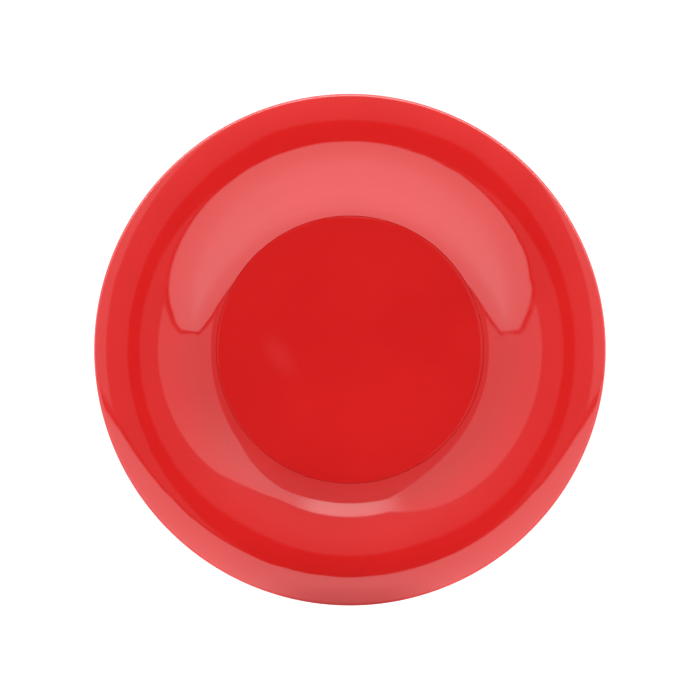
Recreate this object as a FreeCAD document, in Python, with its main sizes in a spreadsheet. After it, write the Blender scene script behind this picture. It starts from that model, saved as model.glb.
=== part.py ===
import FreeCAD, Part

import math
import os
import re

import Sketcher

# An expanding blind flange for a DN 150 pipe, lying face up.
# +Z points out of the red face. Z = 0 is the plane where the gasket meets the pipe's flange face.
# Tightening the draw screw pulls the rear plate forwards, which squeezes the rubber sleeve
# between the spigot ring and the rear plate until it grips the pipe's bore.

# Driving sizes in millimetres, and angles in degrees: alias, value, meaning.
SIZES = [
    # the red face moulding
    ("wall_out", 13, "from the dish floor's edge out to where its wall is steepest"),
    ("crest_out", 33.3, "from there out to the crest"),
    ("edge_out", 20.8, "from the crest out to the edge of the face"),
    ("wall_slope", 38, "slope of the dish wall where it is steepest"),
    ("lip_slope", 12, "slope of the dish wall where it meets the lip"),
    ("floor_height", 21, "height of the dish floor"),
    ("shell_wall", 5, "wall of the face moulding"),
    ("edge_round", 3, "round of the outer edge"),
    ("lip_round", 0.6, "round of the lip beside the centre cap"),
    ("skirt_inset", 2, "how far the skirt leans in from the edge"),
    ("skirt_wall", 4, "wall of the skirt at its foot"),
    ("skirt_clear", 1, "gap between the skirt and the pipe's flange"),
    ("ledge_wall", 4, "wall of the ledge under the centre cap"),
    ("ledge_lap", 4.1, "how far the ledge runs on under the dish wall"),
    ("neck_in", 11, "how much smaller the neck's bore is than the centre cap"),
    ("neck_wall", 4, "wall of the neck"),
    ("boss_count", 8, "number of screw bosses under the crest"),
    ("boss_radius", 6, "outside of a screw boss"),
    ("boss_bury", 1, "how far a boss runs into the wall above it"),
    # the centre cap and its ring
    ("cap_radius", 74.5, "outside of the centre cap"),
    ("cap_gap", 0.3, "gap round the centre cap, and round its ring"),
    ("cap_thick", 3.5, "thickness of the centre cap"),
    ("cap_round", 0.5, "round of the cap's upper edge"),
    ("ring_wall", 4, "wall of the cap's ring"),
    ("ring_depth", 5, "depth of the cap's ring"),
    ("cord_radius", 1.1, "section radius of the cap seal"),
    ("cord_gap", 0.1, "gap between the cap seal and the neck's bore"),
    ("cord_drop", 2.5, "depth of the cap seal below the cap"),
    # the backing plate and the gasket
    ("gasket_thick", 3, "thickness of the face gasket"),
    ("gasket_gap", 6, "gap between the spigot ring and the face gasket"),
    ("gasket_wide", 24.5, "width of the face gasket"),
    ("plate_thick", 6, "thickness of the backing plate"),
    ("plate_gap", 2.5, "gap between the plate and the skirt"),
    ("plate_chamfer", 1, "chamfer of the plate's rim"),
    # the hub with its bush and seals
    ("hub_radius", 24, "barrel of the hub"),
    ("hub_drop", 20, "how far the hub reaches behind the sealing plane"),
    ("hub_flange_out", 7, "from the circle of the hub screws out to the flange's rim"),
    ("hub_flange_thick", 6, "thickness of the hub's flange"),
    ("hub_chamfer", 1, "chamfer of the hub"),
    ("pocket_gap", 2, "gap between the screw head and the pocket round it"),
    ("pocket_drop", 4, "floor of the pocket behind the sealing plane"),
    ("bush_wall", 3, "wall of the hub bush"),
    ("bush_long", 10, "length of the hub bush"),
    ("hub_cord", 1, "section radius of the hub seal"),
    ("hub_seal_out", 3.3, "from the hub's barrel out to the circle of the hub seal"),
    ("shaft_cord", 1.4, "section radius of the shaft seal"),
    ("shaft_cord_gap", 0.6, "gap between the hub bush and the shaft seal"),
    # the draw screw and what runs on it
    ("screw_radius", 8, "outside of the draw screw's thread"),
    ("screw_spare", 8, "how far the draw screw reaches past the nut keeper"),
    ("screw_chamfer", 1.5, "chamfer of the draw screw's end"),
    ("head_out", 4, "how far the draw screw's head stands out all round"),
    ("head_chamfer", 1, "chamfer of the draw screw's head"),
    ("head_height", 16, "height of the draw screw's head"),
    ("socket_corner", 8.1, "hexagon socket from centre to corner"),
    ("socket_depth", 8, "depth of the hexagon socket"),
    ("running_gap", 0.05, "radial running gap on the draw screw"),
    ("guide_gap", 0.08, "radial running gap on the guide pins"),
    ("thrust_thick", 2, "thickness of the thrust washer"),
    ("thrust_gap", 0.5, "gap between the thrust washer and its pocket"),
    ("washer_gap", 0.3, "radial gap between a washer and the draw screw"),
    ("back_thick", 1.5, "thickness of the back washer"),
    ("back_out", 5, "how far the back washer stands out all round"),
    ("clip_thick", 1.2, "thickness of a retaining clip"),
    ("clip_out", 3.5, "how far a retaining clip stands out all round"),
    ("clip_groove", 1, "depth of a clip's groove in the draw screw"),
    ("clip_play", 0.1, "play between the back washer and its clip"),
    ("clip_sweep", 300, "angle that a retaining clip covers"),
    ("end_clip_gap", 3.3, "gap between the nut keeper and the end clip"),
    # the spigot ring, the rubber sleeve and its backing rings
    ("spigot_radius", 78.5, "outside of the spigot ring"),
    ("spigot_bore_out", 8, "from the guide pins' circle out to the spigot ring's bore"),
    ("spigot_drop", 8, "how far the spigot ring enters the pipe"),
    ("spigot_chamfer", 0.8, "chamfer of the spigot ring"),
    ("spigot_relief", 1, "depth of the relief beside the face gasket"),
    ("seal_step", 1, "how much smaller the slack rubber sleeve is than the spigot ring"),
    ("seal_bore_out", 6, "from the guide pins' circle out to the sleeve's bore"),
    ("seal_long", 38.5, "length of the slack rubber sleeve"),
    ("seal_chamfer", 2, "chamfer of the rubber sleeve"),
    ("backup_thick", 1.5, "thickness of a backing ring"),
    ("backup_step", 1.7, "how much smaller a backing ring is than the spigot ring"),
    # the rear plate and what it carries
    ("rear_step", 2, "how much smaller the rear plate is than the spigot ring"),
    ("rear_taper", 3, "how far the rear skirt leans in at its foot"),
    ("rear_thick", 8, "thickness of the rear plate"),
    ("rear_wall", 6, "wall of the rear skirt"),
    ("foot_clear", 4, "how far the draw screw's end stays above the rear skirt's foot"),
    ("rear_fillet", 4, "fillet between the rear plate and its skirt"),
    ("rear_chamfer", 1, "chamfer of the rear plate"),
    ("rear_gap", 0.6, "gap between the draw screw and the rear plate's bore"),
    ("rear_boss_wall", 1, "how much larger the boss is than the nut keeper on it"),
    ("rear_boss_long", 16.5, "length of the boss that holds the draw nut"),
    ("nut_wall", 5.8, "wall of the draw nut at its corners"),
    ("nut_height", 13, "height of the draw nut"),
    ("nut_gap", 0.15, "gap round the draw nut"),
    ("keeper_rim", 4, "from the circle of the keeper screws out to the keeper's rim"),
    ("keeper_gap", 2, "gap between the draw screw and the nut keeper"),
    ("keeper_thick", 2, "thickness of the nut keeper"),
    # the guide pins and their bushes
    ("guide_count", 3, "number of guide pins"),
    ("guide_circle", 44, "circle of the guide pins"),
    ("pin_radius", 4, "guide pin"),
    ("pin_spare", 8.5, "how far a guide pin reaches past its bush"),
    ("pin_chamfer", 0.8, "chamfer of a guide pin"),
    ("guide_bush_wall", 1.8, "how much larger a guide bush is than its pin"),
    ("guide_bush_long", 10, "length of a guide bush"),
    # the fasteners
    ("thread_fit", 0.05, "radial gap of a screw in its threaded hole"),
    ("head_recess", 0.3, "how far a screw head lies below its surface"),
    ("head_gap", 0.4, "radial gap round a screw head"),
    ("shank_gap", 0.3, "radial gap round a shank in a clearance hole"),
    ("small_radius", 2.5, "shank of the shell screws and the hub screws"),
    ("small_head_radius", 4.5, "head of those screws"),
    ("small_head_high", 3, "height of those heads"),
    ("small_socket", 1.9, "hexagon socket of those screws, centre to corner"),
    ("shell_screw_long", 17, "length of a shell screw under its head"),
    ("hub_screw_long", 8, "length of a hub screw under its head"),
    ("hub_screw_out", 8, "from the hub's barrel out to the circle of the hub screws"),
    ("hub_screw_count", 4, "number of hub screws"),
    ("spigot_screw_radius", 3, "shank of a spigot screw"),
    ("spigot_head_radius", 5, "head of a spigot screw"),
    ("spigot_head_high", 5, "height of that head"),
    ("spigot_socket", 2.9, "hexagon socket of a spigot screw, centre to corner"),
    ("spigot_screw_long", 10, "length of a spigot screw under its head"),
    ("spigot_screw_in", 10.5, "from the spigot ring's outside in to its screws' circle"),
    ("spigot_screw_count", 6, "number of spigot screws"),
    ("keeper_screw_radius", 1.5, "shank of a keeper screw"),
    ("keeper_head_radius", 2.7, "head of a keeper screw"),
    ("keeper_head_high", 1.6, "height of that head"),
    ("keeper_socket", 1.1, "hexagon socket of a keeper screw, centre to corner"),
    ("keeper_screw_long", 9, "length of a keeper screw under its head"),
    ("keeper_screw_out", 5.2, "from the nut's corners out to the circle of the keeper screws"),
    ("keeper_screw_count", 3, "number of keeper screws"),
    ("drill_spare", 2, "how much deeper a blind hole is than its screw"),
    ("socket_share", 0.6, "depth of a small screw's socket as a share of its head"),
]

# Sizes and heights that follow from the driving sizes.
DERIVED = {
    # heights, from the top down
    "floor_edge": "cap_radius + cap_gap + lip_round",
    "wall_circle": "floor_edge + wall_out",
    "crest_circle": "wall_circle + crest_out",
    "face_radius": "crest_circle + edge_out",
    "wall_arc": "(wall_circle - floor_edge) / (sin(wall_slope * 1deg) - sin(lip_slope * 1deg))",
    "wall_centre": "floor_edge - wall_arc * sin(lip_slope * 1deg)",
    "wall_centre_height": "floor_height + wall_arc * cos(lip_slope * 1deg)",
    "crest_arc": "(crest_circle - wall_circle) / sin(wall_slope * 1deg)",
    "wall_height": "wall_centre_height - wall_arc * cos(wall_slope * 1deg)",
    "crest_height": "wall_height + crest_arc * (1 - cos(wall_slope * 1deg))",
    "crest_centre": "crest_height - crest_arc",
    "edge_sine": "(face_radius - edge_round - crest_circle) / (crest_arc - edge_round)",
    "edge_cosine": "sqrt(1 - edge_sine * edge_sine)",
    "edge_height": "crest_centre + (crest_arc - edge_round) * edge_cosine",
    "under_arc": "crest_arc - shell_wall",
    "skirt_inner": "face_radius - skirt_inset - skirt_wall",
    "skirt_top": "crest_centre + sqrt(under_arc ^ 2 - (skirt_inner - crest_circle) ^ 2)",
    "under_wall_circle": "wall_circle + shell_wall * sin(wall_slope * 1deg)",
    "under_wall_height": "wall_height - shell_wall * cos(wall_slope * 1deg)",
    "ledge_outer": "floor_edge + ledge_lap",
    "ledge_reach": "ledge_outer - wall_centre",
    "ledge_under": "wall_centre_height - sqrt((wall_arc + shell_wall) ^ 2 - ledge_reach ^ 2)",
    "cap_low": "floor_height - cap_thick",
    "neck_radius": "cap_radius - neck_in",
    "ring_outer": "neck_radius - cap_gap",
    "ring_inner": "ring_outer - ring_wall",
    "cord_circle": "neck_radius - cord_gap - cord_radius",
    "cord_height": "cap_low - cord_drop",
    "plate_low": "gasket_thick",
    "plate_high": "gasket_thick + plate_thick",
    "plate_radius": "skirt_inner - plate_gap",
    "boss_high": "crest_height - shell_wall + boss_bury",
    "gasket_inner": "spigot_radius + gasket_gap",
    "gasket_outer": "gasket_inner + gasket_wide",
    "hub_high": "plate_high + hub_flange_thick",
    "hub_seal_circle": "hub_radius + hub_seal_out",
    "hub_screw_circle": "hub_radius + hub_screw_out",
    "hub_flange_radius": "hub_screw_circle + hub_flange_out",
    "head_radius": "screw_radius + head_out",
    "pocket_radius": "head_radius + pocket_gap",
    "thrust_radius": "pocket_radius - thrust_gap",
    "bush_radius": "screw_radius + bush_wall",
    "head_low": "thrust_thick - pocket_drop",
    "head_high": "head_low + head_height",
    "screw_hole": "screw_radius + running_gap",
    "bush_high": "bush_long - hub_drop",
    "shaft_cord_height": "bush_high + shaft_cord_gap + shaft_cord",
    "back_low": "0 - hub_drop - back_thick",
    "hub_clip_high": "back_low - clip_play",
    "back_radius": "screw_radius + back_out",
    "clip_radius": "screw_radius + clip_out",
    "clip_inner": "screw_radius - clip_groove",
    # behind the plate
    "spigot_low": "0 - spigot_drop",
    "spigot_bore": "guide_circle + spigot_bore_out",
    "spigot_screw_circle": "spigot_radius - spigot_screw_in",
    "seal_radius": "spigot_radius - seal_step",
    "seal_bore": "guide_circle + seal_bore_out",
    "backup_radius": "spigot_radius - backup_step",
    "seal_high": "spigot_low - backup_thick",
    "seal_low": "seal_high - seal_long",
    "rear_high": "seal_low - backup_thick",
    "rear_under": "rear_high - rear_thick",
    "rear_radius": "spigot_radius - rear_step",
    "rear_inner": "rear_radius - rear_wall",
    "rear_bore": "screw_radius + rear_gap",
    "rear_boss_low": "rear_high - rear_boss_long",
    "nut_high": "rear_boss_low + nut_height",
    "nut_corner": "screw_radius + nut_wall",
    "keeper_low": "rear_boss_low - keeper_thick",
    "keeper_bore": "screw_radius + keeper_gap",
    "keeper_screw_circle": "nut_corner + keeper_screw_out",
    "keeper_radius": "keeper_screw_circle + keeper_rim",
    "rear_boss_radius": "keeper_radius + rear_boss_wall",
    "end_clip_high": "keeper_low - end_clip_gap",
    "screw_low": "keeper_low - screw_spare",
    "rear_low": "screw_low - foot_clear",
    "guide_bush_radius": "pin_radius + guide_bush_wall",
    "pin_low": "rear_high - guide_bush_long - pin_spare",
    "guide_hole": "pin_radius + guide_gap",
}


def expand(text):
    """Write an expression in the spreadsheet's cells: aliases and derived sizes by name."""
    def cell(match):
        word = match.group(0)
        if word in DERIVED:
            return "(" + expand(DERIVED[word]) + ")"
        return "Sizes." + word if word in ALIASES else word
    return re.sub(r"[a-z_]+", cell, text)


def value(text):
    """Work out an expression as a plain number."""
    result = sheet.evalExpression(expand(text))
    return float(getattr(result, "Value", result))


def plane(body, role):
    """Find one of a body's own origin planes or axes."""
    return [feature for feature in body.Origin.OriginFeatures if feature.Role == role][0]


def make_body(label):
    """Start a body that becomes one sub-part."""
    body = doc.addObject("PartDesign::Body", label)
    body.Label = label
    body.AllowCompound = True
    subparts.append(body)
    return body


def make_sketch(body, name, role, turn=0, height=None):
    """Attach a sketch to an origin plane, turned about Z and raised to a height."""
    sketch = body.newObject("Sketcher::SketchObject", name)
    sketch.AttachmentSupport = [(plane(body, role), "")]
    sketch.MapMode = "FlatFace"
    upright = FreeCAD.Vector(0, 1, 0) if role == "XZ_Plane" else FreeCAD.Vector(0, 0, 1)
    turned = FreeCAD.Rotation(upright, turn)
    sketch.AttachmentOffset = FreeCAD.Placement(FreeCAD.Vector(0, 0, 0), turned)
    if height is not None:
        sketch.setExpression(".AttachmentOffset.Base.z", expand(height))
    return sketch


def place(sketch, name, kind, geometry, point, text):
    """Hold a point of an edge at a distance from the origin along one axis."""
    if text == "0":
        axis = -2 if kind == "DistanceX" else -1
        sketch.addConstraint(Sketcher.Constraint("PointOnObject", geometry, point, axis))
        return
    row = sketch.addConstraint(Sketcher.Constraint(kind, -1, 1, geometry, point, value(text)))
    sketch.renameConstraint(row, name)
    sketch.setExpression("Constraints." + name, expand(text))


def arc_between(start, end, radius, side):
    """Join two points by a minor arc, drawn counter-clockwise as a sketch keeps it.

    side is 1 with the centre on the left of the way from start to end, -1 on the right.
    """
    half = (end - start) * 0.5
    left = FreeCAD.Vector(-half.y, half.x, 0).normalize()
    rise = math.sqrt(radius ** 2 - half.Length ** 2)
    middle = start + half + left * side * (rise - radius)
    return Part.Arc(start, middle, end) if side > 0 else Part.Arc(end, middle, start)


def outline(sketch, corners):
    """Draw a closed outline.

    A corner is (across, up) as expressions, or (across, up, radius, side) where the stretch
    that starts at the corner is an arc.
    """
    first = sketch.GeometryCount
    points = [FreeCAD.Vector(value(corner[0]), value(corner[1]), 0) for corner in corners]
    begins = [2 if len(corner) == 4 and corner[3] < 0 else 1 for corner in corners]
    for index, corner in enumerate(corners):
        start = points[index]
        end = points[(index + 1) % len(points)]
        if len(corner) == 4:
            edge = arc_between(start, end, value(corner[2]), corner[3])
        else:
            edge = Part.LineSegment(start, end)
        sketch.addGeometry(edge, False)
    for index, corner in enumerate(corners):
        after = (index + 1) % len(corners)
        here = first + index
        ends = (here, 3 - begins[index], first + after, begins[after])
        sketch.addConstraint(Sketcher.Constraint("Coincident", *ends))
        if len(corner) == 4:
            row = sketch.addConstraint(Sketcher.Constraint("Radius", here, value(corner[2])))
            sketch.renameConstraint(row, "arc_%d" % index)
            sketch.setExpression("Constraints.arc_%d" % index, expand(corner[2]))
        place(sketch, "across_%d" % index, "DistanceX", here, begins[index], corner[0])
        place(sketch, "up_%d" % index, "DistanceY", here, begins[index], corner[1])


def revolve(body, name, corners):
    """Turn an outline of radius and height about the Z axis."""
    sketch = make_sketch(body, name + "_outline", "XZ_Plane")
    outline(sketch, corners)
    feature = body.newObject("PartDesign::Revolution", name)
    feature.Profile = sketch
    feature.ReferenceAxis = (sketch, ["V_Axis"])
    feature.Angle = 360
    body.Tip = feature
    return feature


def groove(body, name, corners):
    """Cut an outline of radius and height out of the body, all the way round the Z axis."""
    sketch = make_sketch(body, name + "_outline", "XZ_Plane")
    outline(sketch, corners)
    feature = body.newObject("PartDesign::Groove", name)
    feature.Profile = sketch
    feature.ReferenceAxis = (sketch, ["V_Axis"])
    feature.Angle = 360
    body.Tip = feature
    return feature


def circle(sketch, across, radius):
    """Draw a circle whose centre lies on the sketch's own across axis."""
    centre = FreeCAD.Vector(value(across), 0, 0)
    shape = Part.Circle(centre, FreeCAD.Vector(0, 0, 1), value(radius))
    here = sketch.addGeometry(shape, False)
    sketch.addConstraint(Sketcher.Constraint("PointOnObject", here, 3, -1))
    row = sketch.addConstraint(Sketcher.Constraint("DistanceX", -1, 1, here, 3, value(across)))
    sketch.renameConstraint(row, "across")
    sketch.setExpression("Constraints.across", expand(across))
    row = sketch.addConstraint(Sketcher.Constraint("Radius", here, value(radius)))
    sketch.renameConstraint(row, "radius")
    sketch.setExpression("Constraints.radius", expand(radius))


def hexagon(sketch, across, corner):
    """Draw a hexagon whose centre lies on the sketch's own across axis."""
    points = []
    for angle in range(0, 360, 60):
        up = "0" if angle % 180 == 0 else "(%s) * sin(%d * 1deg)" % (corner, angle)
        points.append(("(%s) + (%s) * cos(%d * 1deg)" % (across, corner, angle), up))
    outline(sketch, points)


def extrude(body, kind, name, draw, across, width, start, length, turn=0, upward=True):
    """Pad or pocket a circle or a hexagon that stands on the circle 'across' from the axis."""
    sketch = make_sketch(body, name + "_outline", "XY_Plane", turn, start)
    draw(sketch, across, width)
    feature = body.newObject("PartDesign::" + kind, name)
    feature.Profile = sketch
    feature.Length = value(length)
    feature.setExpression("Length", expand(length))
    feature.Reversed = upward if kind == "Pocket" else not upward
    body.Tip = feature
    return feature


def repeat(body, name, features, count):
    """Repeat features round the Z axis."""
    pattern = body.newObject("PartDesign::PolarPattern", name)
    pattern.Originals = features
    pattern.Axis = (plane(body, "Z_Axis"), [""])
    pattern.Angle = 360
    pattern.setExpression("Occurrences", expand(count))
    body.Tip = pattern


def ring(label, outer, inner, low, high, sweep="360"):
    """Make a plain ring, or an open one, between two heights."""
    walls = []
    for side, radius, angle in (("outside", outer, sweep), ("inside", inner, "360")):
        wall = doc.addObject("Part::Cylinder", label + "_" + side)
        wall.setExpression("Radius", expand(radius))
        wall.setExpression("Height", expand("(%s) - (%s)" % (high, low)))
        wall.setExpression("Angle", expand(angle))
        wall.setExpression(".Placement.Base.z", expand(low))
        walls.append(wall)
    cut = doc.addObject("Part::Cut", label)
    cut.Base = walls[0]
    cut.Tool = walls[1]
    cut.Label = label
    subparts.append(cut)
    return cut


def cord_ring(label, circle_text, section, height):
    """Make an O-ring at a height."""
    torus = doc.addObject("Part::Torus", label)
    torus.setExpression("Radius1", expand(circle_text))
    torus.setExpression("Radius2", expand(section))
    torus.setExpression(".Placement.Base.z", expand(height))
    torus.Label = label
    subparts.append(torus)


def screws(label, count, across, shank, head, head_high, socket, long, seat, upward, turn):
    """Make a ring of socket-head screws whose heads sit on the height 'seat'.

    The shanks point up where 'upward' is true, and down where it is not.
    """
    body = make_body(label)
    head_end = "(%s) %s (%s)" % (seat, "-" if upward else "+", head_high)
    parts = [
        extrude(body, "Pad", label + "_shank", circle, across, shank, seat, long, turn, upward),
        extrude(body, "Pad", label + "_head", circle, across, head, seat, head_high, turn,
                not upward),
        extrude(body, "Pocket", label + "_socket", hexagon, across, socket, head_end,
                "(%s) * socket_share" % head_high, turn, upward),
    ]
    repeat(body, label + "_ring", parts, count)


def face_shell():
    """The red face: a dish floor ring, an S-shaped wall, a rounded crest and a skirt."""
    body = make_body("face_shell")
    revolve(body, "shell_form", [
        ("neck_radius", "plate_high"),
        ("neck_radius", "cap_low"),
        ("cap_radius + cap_gap", "cap_low"),
        ("cap_radius + cap_gap", "floor_height - lip_round", "lip_round", -1),
        ("floor_edge", "floor_height", "wall_arc", 1),
        ("wall_circle", "wall_height", "crest_arc", -1),
        ("crest_circle + crest_arc * edge_sine", "crest_centre + crest_arc * edge_cosine",
         "edge_round", -1),
        ("face_radius", "edge_height"),
        ("face_radius - skirt_inset", "skirt_clear"),
        ("skirt_inner", "skirt_clear"),
        ("skirt_inner", "skirt_top", "under_arc", 1),
        ("under_wall_circle", "under_wall_height", "wall_arc + shell_wall", -1),
        ("ledge_outer", "ledge_under"),
        ("ledge_outer", "cap_low - ledge_wall"),
        ("neck_radius + neck_wall", "cap_low - ledge_wall"),
        ("neck_radius + neck_wall", "plate_high"),
    ])
    boss = extrude(body, "Pad", "screw_boss", circle, "crest_circle", "boss_radius",
                   "plate_high", "boss_high - plate_high")
    pilot = extrude(body, "Pocket", "pilot_hole", circle, "crest_circle", "small_radius",
                    "plate_high", SHELL_SCREW_BITE + " + drill_spare")
    repeat(body, "screw_bosses", [boss, pilot], "boss_count")


def centre_cap():
    """The crisp-edged disc in the middle of the dish, with the ring that it plugs in by."""
    body = make_body("centre_cap")
    revolve(body, "cap_form", [
        ("0", "cap_low"),
        ("ring_inner", "cap_low"),
        ("ring_inner", "cap_low - ring_depth"),
        ("ring_outer", "cap_low - ring_depth"),
        ("ring_outer", "cap_low"),
        ("cap_radius", "cap_low"),
        ("cap_radius", "floor_height - cap_round", "cap_round", 1),
        ("cap_radius - cap_round", "floor_height"),
        ("0", "floor_height"),
    ])
    groove(body, "cap_seal_groove", [
        ("cord_circle - cord_radius", "cord_height - cord_radius"),
        ("neck_radius", "cord_height - cord_radius"),
        ("neck_radius", "cord_height + cord_radius"),
        ("cord_circle - cord_radius", "cord_height + cord_radius"),
    ])
    cord_ring("cap_seal", "cord_circle", "cord_radius", "cord_height")


def backing_plate():
    """The steel plate that carries the face, the hub, the spigot ring and the guide pins."""
    body = make_body("backing_plate")
    revolve(body, "plate_form", [
        ("hub_radius", "plate_low"),
        ("plate_radius - plate_chamfer", "plate_low"),
        ("plate_radius", "plate_low + plate_chamfer"),
        ("plate_radius", "plate_high - plate_chamfer"),
        ("plate_radius - plate_chamfer", "plate_high"),
        ("hub_radius", "plate_high"),
    ])
    through = "plate_thick"
    shank = extrude(body, "Pocket", "shell_screw_hole", circle, "crest_circle",
                    "small_radius + shank_gap", "plate_low", through)
    head = extrude(body, "Pocket", "shell_head_hole", circle, "crest_circle",
                   "small_head_radius + head_gap", "plate_low", "small_head_high + head_recess")
    repeat(body, "shell_screw_holes", [shank, head], "boss_count")
    hub_hole = extrude(body, "Pocket", "hub_screw_hole", circle, "hub_screw_circle",
                       "small_radius", "plate_low", through, HUB_SCREW_TURN)
    repeat(body, "hub_screw_holes", [hub_hole], "hub_screw_count")
    spigot_hole = extrude(body, "Pocket", "spigot_screw_hole", circle, "spigot_screw_circle",
                          "spigot_screw_radius", "plate_low", through, SPIGOT_SCREW_TURN)
    repeat(body, "spigot_screw_holes", [spigot_hole], "spigot_screw_count")
    pin_hole = extrude(body, "Pocket", "guide_pin_hole", circle, "guide_circle",
                       "pin_radius", "plate_low", through, GUIDE_TURN)
    repeat(body, "guide_pin_holes", [pin_hole], "guide_count")


def hub():
    """The steel hub that carries the draw screw, with its bush, its seals and its washers."""
    body = make_body("hub")
    revolve(body, "hub_form", [
        ("bush_radius", "0 - hub_drop"),
        ("hub_radius - hub_chamfer", "0 - hub_drop"),
        ("hub_radius", "hub_chamfer - hub_drop"),
        ("hub_radius", "plate_high"),
        ("hub_flange_radius", "plate_high"),
        ("hub_flange_radius", "hub_high - hub_chamfer"),
        ("hub_flange_radius - hub_chamfer", "hub_high"),
        ("pocket_radius + hub_chamfer", "hub_high"),
        ("pocket_radius", "hub_high - hub_chamfer"),
        ("pocket_radius", "0 - pocket_drop"),
        ("bush_radius", "0 - pocket_drop"),
    ])
    groove(body, "hub_seal_groove", [
        ("hub_seal_circle - hub_cord", "0"),
        ("hub_seal_circle + hub_cord", "0"),
        ("hub_seal_circle + hub_cord", "plate_high + 2 * hub_cord"),
        ("hub_seal_circle - hub_cord", "plate_high + 2 * hub_cord"),
    ])
    shank = extrude(body, "Pocket", "hub_shank_hole", circle, "hub_screw_circle",
                    "small_radius + shank_gap", "plate_high", "hub_flange_thick",
                    HUB_SCREW_TURN)
    head = extrude(body, "Pocket", "hub_head_hole", circle, "hub_screw_circle",
                   "small_head_radius + head_gap", "hub_high",
                   "small_head_high + head_recess", HUB_SCREW_TURN, False)
    repeat(body, "hub_screw_seats", [shank, head], "hub_screw_count")
    cord_ring("hub_seal", "hub_seal_circle", "hub_cord", "plate_high + hub_cord")
    ring("hub_bush", "bush_radius", "screw_hole", "0 - hub_drop", "bush_high")
    cord_ring("shaft_seal", "screw_hole + shaft_cord", "shaft_cord", "shaft_cord_height")
    ring("thrust_washer", "thrust_radius", "screw_radius + washer_gap", "0 - pocket_drop",
         "head_low")
    ring("back_washer", "back_radius", "screw_radius + washer_gap", "back_low",
         "0 - hub_drop")


def draw_screw():
    """The screw under the centre cap, with a clip behind the hub and one at its end."""
    body = make_body("draw_screw")
    revolve(body, "screw_form", [
        ("0", "screw_low"),
        ("screw_radius - screw_chamfer", "screw_low"),
        ("screw_radius", "screw_low + screw_chamfer"),
        ("screw_radius", "head_low"),
        ("head_radius", "head_low"),
        ("head_radius", "head_high - head_chamfer"),
        ("head_radius - head_chamfer", "head_high"),
        ("0", "head_high"),
    ])
    for name, high in (("hub_clip", "hub_clip_high"), ("end_clip", "end_clip_high")):
        low = high + " - clip_thick"
        groove(body, name + "_groove", [
            ("clip_inner", low),
            ("screw_radius + clip_groove", low),
            ("screw_radius + clip_groove", high),
            ("clip_inner", high),
        ])
        ring(name, "clip_radius", "clip_inner", low, high, "clip_sweep")
    extrude(body, "Pocket", "head_socket", hexagon, "0", "socket_corner", "head_high",
            "socket_depth", 0, False)


def spigot_and_sleeve():
    """The spigot ring that centres the flange in the bore, and the sleeve that grips it."""
    body = make_body("spigot_ring")
    revolve(body, "spigot_form", [
        ("spigot_bore", "spigot_low"),
        ("spigot_radius - spigot_chamfer", "spigot_low"),
        ("spigot_radius", "spigot_low + spigot_chamfer"),
        ("spigot_radius", "0"),
        ("spigot_radius - spigot_relief", "0"),
        ("spigot_radius - spigot_relief", "plate_low"),
        ("spigot_bore", "plate_low"),
    ])
    height = "plate_low - spigot_low"
    shank = extrude(body, "Pocket", "spigot_shank_hole", circle, "spigot_screw_circle",
                    "spigot_screw_radius + shank_gap", "spigot_low", height,
                    SPIGOT_SCREW_TURN)
    head = extrude(body, "Pocket", "spigot_head_hole", circle, "spigot_screw_circle",
                   "spigot_head_radius + head_gap", "spigot_low",
                   "spigot_head_high + head_recess", SPIGOT_SCREW_TURN)
    repeat(body, "spigot_screw_seats", [shank, head], "spigot_screw_count")
    ring("front_backing_ring", "backup_radius", "seal_bore", "seal_high", "spigot_low")
    sleeve = make_body("sealing_sleeve")
    revolve(sleeve, "sleeve_form", [
        ("seal_bore", "seal_low"),
        ("seal_radius - seal_chamfer", "seal_low"),
        ("seal_radius", "seal_low + seal_chamfer"),
        ("seal_radius", "seal_high - seal_chamfer"),
        ("seal_radius - seal_chamfer", "seal_high"),
        ("seal_bore", "seal_high"),
    ])
    ring("rear_backing_ring", "backup_radius", "seal_bore", "rear_high", "seal_low")
    ring("face_gasket", "gasket_outer", "gasket_inner", "0", "plate_low")


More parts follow.
